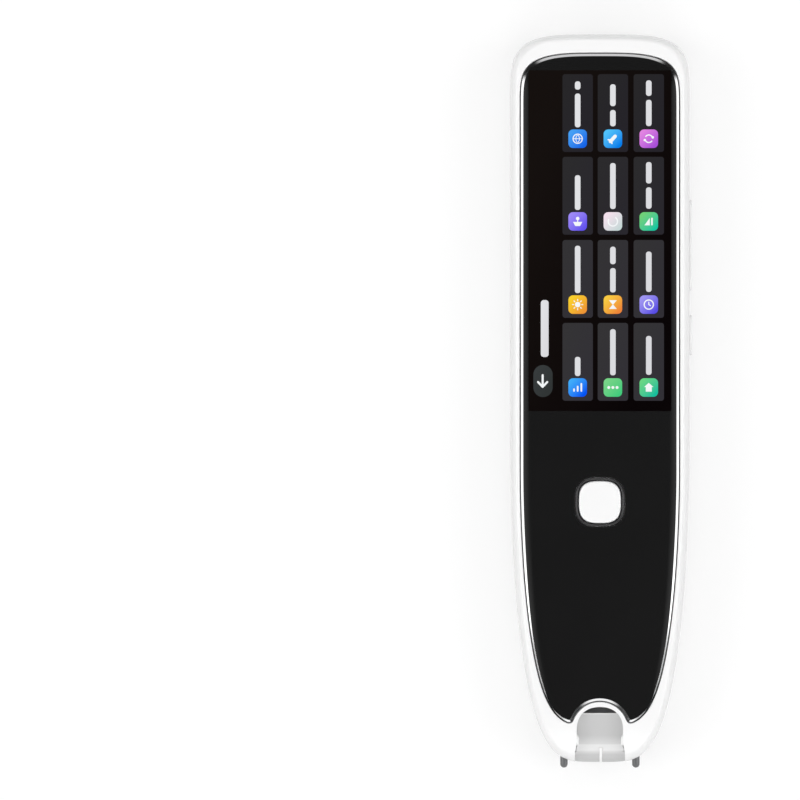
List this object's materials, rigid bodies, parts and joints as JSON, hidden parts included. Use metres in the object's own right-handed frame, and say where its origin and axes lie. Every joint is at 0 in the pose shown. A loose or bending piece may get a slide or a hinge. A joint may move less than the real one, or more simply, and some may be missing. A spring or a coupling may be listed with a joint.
{
  "type": "translation scanner pen",
  "caption": "Handheld translation pen with a long glass front, home button, side keys and a scanning nose with two spring pins at its tip.",
  "frame": {"origin": "centre of the flat back face, half way between the top end and the tip", "axes": "+X to the side with the keys, +Y to the top end, -Y to the scanning tip, +Z out of the screen"},
  "size_m": [0.0375, 0.1511, 0.013],
  "materials": {
    "shell_white": "gloss moulded, fine",
    "panel_glass": "polished, black printed behind",
    "screen": "display surface",
    "button_white": "gloss moulded",
    "trim_grey": "satin",
    "window_grey": "satin, translucent look",
    "mark_white": "satin",
    "hood_black": "matte, light trap",
    "pin_steel": "turned and polished",
    "sheet_steel": "stamped sheet",
    "board_green": "solder mask",
    "chip_black": "moulded epoxy",
    "flex_amber": "polyimide film",
    "cell_silver": "laminated pouch",
    "foam_black": "foam and adhesive",
    "nylon_cream": "moulded nylon",
    "lead_red": "silicone sleeve",
    "lead_black": "silicone sleeve",
    "lamp_yellow": "phosphor"
  },
  "bodies": {
    "pen_body": {"rear_cover": "shell_white", "front_housing": "shell_white", "cover_glass": "panel_glass", "glass_tape": "foam_black", "display_panel": "screen", "backlight_tray": "sheet_steel", "display_flex": "flex_amber", "display_connector": "chip_black", "home_button_ring": "trim_grey", "home_switch": "sheet_steel", "home_switch_plunger": "chip_black", "side_key_board": "board_green", "volume_switch_up": "sheet_steel", "volume_switch_down": "sheet_steel", "power_switch": "sheet_steel", "main_board": "board_green", "processor_shield": "sheet_steel", "memory_chip": "chip_black", "power_chip": "chip_black", "usb_socket": "sheet_steel", "microphone": "sheet_steel", "board_screw_1": "pin_steel", "board_screw_2": "pin_steel", "board_screw_3": "pin_steel", "board_screw_4": "pin_steel", "battery": "cell_silver", "battery_tape": "foam_black", "battery_tab": "board_green", "battery_plug": "nylon_cream", "battery_lead_red": "lead_red", "battery_lead_black": "lead_black", "speaker": "chip_black", "speaker_mesh": "foam_black", "antenna": "flex_amber", "scan_window": "window_grey", "aim_mark": "mark_white", "scan_chamber": "hood_black", "camera_module": "chip_black", "camera_lens": "hood_black", "camera_flex": "flex_amber", "camera_connector": "chip_black", "light_board": "hood_black", "led_left": "lamp_yellow", "led_right": "lamp_yellow", "trigger_spring_left": "pin_steel", "trigger_spring_right": "pin_steel", "trigger_switch": "chip_black", "trigger_switch_plunger": "nylon_cream"},
    "home_key": {"home_button": "button_white"},
    "volume_key": {"volume_rocker": "button_white"},
    "power_key": {"power_button": "button_white"},
    "scan_trigger": {"trigger_yoke": "nylon_cream", "trigger_pin_left": "pin_steel", "trigger_pin_right": "pin_steel"}
  },
  "joints": [
    {"name": "home_press", "type": "slide", "parent": "pen_body", "child": "home_key", "axis": [0, 0, -1], "range_m": [0, 0.00035], "stiffness_N_per_m": 40, "springref_m": -0.001},
    {"name": "volume_rock", "type": "hinge", "parent": "pen_body", "child": "volume_key", "pos_m": [0.01645, 0.0316, 0.0083], "axis": [0, 0, 1], "range_deg": [-1.5, 1.5], "stiffness_Nm_per_rad": 0.001},
    {"name": "power_press", "type": "slide", "parent": "pen_body", "child": "power_key", "axis": [-1, 0, 0], "range_m": [0, 0.00025], "stiffness_N_per_m": 40, "springref_m": -0.001},
    {"name": "scan_press", "type": "slide", "parent": "pen_body", "child": "scan_trigger", "axis": [0, 1, 0], "range_m": [0, 0.0008], "stiffness_N_per_m": 60, "springref_m": -0.004, "deforming": ["trigger_spring_left", "trigger_spring_right"]}
  ]
}
